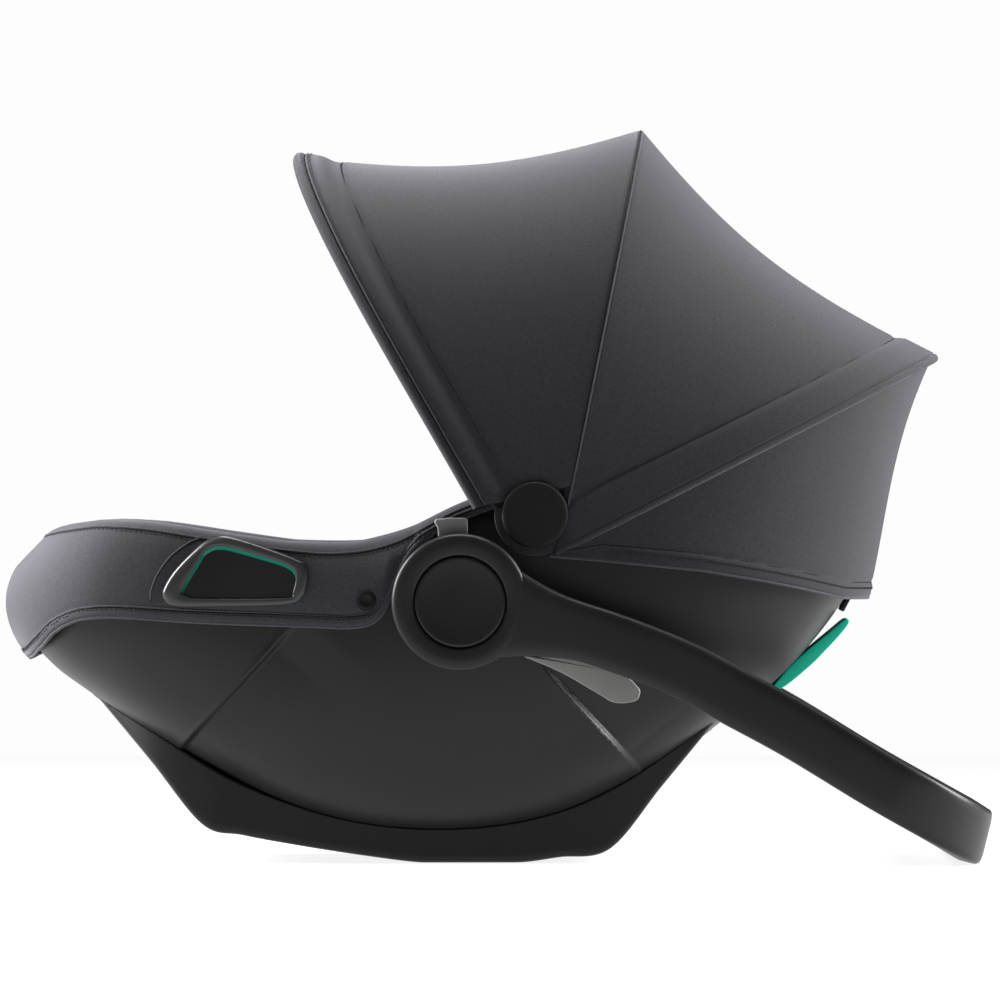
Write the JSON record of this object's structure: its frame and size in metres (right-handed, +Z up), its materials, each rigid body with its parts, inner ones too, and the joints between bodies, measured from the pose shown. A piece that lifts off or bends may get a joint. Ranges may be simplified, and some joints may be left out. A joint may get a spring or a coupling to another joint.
{
  "type": "infant car seat",
  "caption": "Rear-facing baby carrier seat with padded cover, harness, folding canopy and a swinging carry handle folded back as a stand.",
  "frame": {"origin": "on the ground, under the middle of the whole length, with the handle folded back", "axes": "+X from the foot end to the head end, +Y to the child's right, +Z up"},
  "size_m": [0.7612, 0.4412, 0.5675],
  "materials": {
    "shell_plastic": "matte",
    "base_plastic": "satin",
    "handle_plastic": "satin",
    "trim_plastic": "matte",
    "grey_plastic": "satin",
    "green_plastic": "satin",
    "red_plastic": "satin",
    "cover_fabric": "matte",
    "canopy_fabric": "matte",
    "pad_fabric": "matte",
    "webbing": "matte",
    "steel": "satin",
    "liner_foam": "matte"
  },
  "bodies": {
    "seat": {"seat_shell": "shell_plastic", "rocker_base": "base_plastic", "hub_socket_left": "handle_plastic", "hub_socket_right": "handle_plastic", "belt_guide_left": "trim_plastic", "belt_guide_right": "trim_plastic", "canopy_cap_left": "trim_plastic", "canopy_cap_right": "trim_plastic", "cover_stud_left": "trim_plastic", "cover_stud_right": "trim_plastic", "cover_hook_rear": "trim_plastic", "buckle_body": "trim_plastic", "adjuster_housing": "trim_plastic", "hoop_rear": "trim_plastic", "shoulder_belt_hook": "green_plastic", "belt_guide_lining_left": "green_plastic", "belt_guide_lining_right": "green_plastic", "seat_cover": "cover_fabric", "canopy_panel_rear": "canopy_fabric", "seat_pad": "pad_fabric", "crotch_pad": "pad_fabric", "shoulder_pad_left": "pad_fabric", "shoulder_pad_right": "pad_fabric", "shoulder_strap_left": "webbing", "shoulder_strap_right": "webbing", "lap_strap_left": "webbing", "lap_strap_right": "webbing", "crotch_strap": "webbing", "pull_strap": "webbing", "adjuster_strap": "webbing", "hub_screw_left": "steel", "hub_screw_right": "steel", "buckle_tongue_left": "steel", "buckle_tongue_right": "steel", "latch_bar_front": "steel", "latch_bar_rear": "steel", "harness_yoke": "steel", "seat_liner": "liner_foam"},
    "handle": {"handle_frame": "handle_plastic", "hub_cap_left": "handle_plastic", "hub_cap_right": "handle_plastic"},
    "handle_button_left": {"handle_button_left": "grey_plastic"},
    "handle_button_right": {"handle_button_right": "grey_plastic"},
    "lock_gear_left": {"lock_gear_left": "grey_plastic"},
    "lock_gear_right": {"lock_gear_right": "grey_plastic"},
    "travel_lever_left": {"travel_lever_left": "grey_plastic"},
    "travel_lever_right": {"travel_lever_right": "grey_plastic"},
    "adapter_pawl_left": {"adapter_pawl_left": "steel"},
    "adapter_pawl_right": {"adapter_pawl_right": "steel"},
    "canopy_middle": {"hoop_middle": "trim_plastic", "canopy_panel_middle": "canopy_fabric"},
    "canopy_front": {"hoop_front": "trim_plastic", "canopy_panel_front": "canopy_fabric"},
    "headrest": {"headrest_shell": "trim_plastic", "headrest_pad": "pad_fabric"},
    "headrest_release": {"headrest_release": "grey_plastic"},
    "buckle_button": {"buckle_button": "red_plastic"},
    "adjuster_button": {"adjuster_button": "grey_plastic"}
  },
  "joints": [
    {"name": "handle_fold", "type": "hinge", "parent": "seat", "child": "handle", "pos_m": [-0.0275, 0, 0.2016], "axis": [0, -1, 0], "range_deg": [0, 116]},
    {"name": "canopy_middle_fold", "type": "hinge", "parent": "seat", "child": "canopy_middle", "pos_m": [0.0295, 0, 0.2676], "axis": [0, 1, 0], "range_deg": [0, 45], "deforming": ["canopy_panel_middle"]},
    {"name": "canopy_front_fold", "type": "hinge", "parent": "canopy_middle", "child": "canopy_front", "pos_m": [0.0295, 0, 0.2676], "axis": [0, 1, 0], "range_deg": [0, 35.1], "deforming": ["canopy_panel_front"]},
    {"name": "headrest_height", "type": "slide", "parent": "seat", "child": "headrest", "axis": [0.7997, 0, 0.6004], "range_m": [0, 0.04]},
    {"name": "headrest_release_pull", "type": "slide", "parent": "headrest", "child": "headrest_release", "axis": [0.7997, 0, 0.6004], "range_m": [0, 0.004], "stiffness_N_per_m": 400},
    {"name": "buckle_button_press", "type": "slide", "parent": "seat", "child": "buckle_button", "axis": [0.1736, 0, -0.9848], "range_m": [0, 0.003], "stiffness_N_per_m": 600},
    {"name": "adjuster_button_press", "type": "slide", "parent": "seat", "child": "adjuster_button", "axis": [-0.5075, 0, -0.8616], "range_m": [0, 0.0025], "stiffness_N_per_m": 600},
    {"name": "handle_button_press_left", "type": "slide", "parent": "seat", "child": "handle_button_left", "axis": [0.1317, 0, -0.9913], "range_m": [0, 0.004], "stiffness_N_per_m": 800},
    {"name": "lock_gear_slide_left", "type": "slide", "parent": "seat", "child": "lock_gear_left", "axis": [0, 1, 0], "range_m": [0, 0.0058]},
    {"name": "travel_lever_pull_left", "type": "hinge", "parent": "seat", "child": "travel_lever_left", "pos_m": [0.0329, 0, 0.157], "axis": [0, -1, 0], "range_deg": [0, 10], "stiffness_Nm_per_rad": 0.8},
    {"name": "adapter_pawl_slide_left", "type": "slide", "parent": "seat", "child": "adapter_pawl_left", "axis": [1, 0, 0], "range_m": [0, 0.0046]},
    {"name": "handle_button_press_right", "type": "slide", "parent": "seat", "child": "handle_button_right", "axis": [0.1317, 0, -0.9913], "range_m": [0, 0.004], "stiffness_N_per_m": 800},
    {"name": "lock_gear_slide_right", "type": "slide", "parent": "seat", "child": "lock_gear_right", "axis": [0, -1, 0], "range_m": [0, 0.0058]},
    {"name": "travel_lever_pull_right", "type": "hinge", "parent": "seat", "child": "travel_lever_right", "pos_m": [0.0329, 0, 0.157], "axis": [0, -1, 0], "range_deg": [0, 10], "stiffness_Nm_per_rad": 0.8},
    {"name": "adapter_pawl_slide_right", "type": "slide", "parent": "seat", "child": "adapter_pawl_right", "axis": [1, 0, 0], "range_m": [0, 0.0046]}
  ],
  "couplings": [
    {"joint": "canopy_front_fold", "follows": "canopy_middle_fold", "ratio": 0.7778},
    {"joint": "lock_gear_slide_left", "follows": "handle_button_press_left", "ratio": 1.425},
    {"joint": "adapter_pawl_slide_left", "follows": "travel_lever_pull_left", "m_per_rad": 0.0257},
    {"joint": "lock_gear_slide_right", "follows": "handle_button_press_right", "ratio": 1.425},
    {"joint": "adapter_pawl_slide_right", "follows": "travel_lever_pull_right", "m_per_rad": 0.0257}
  ]
}
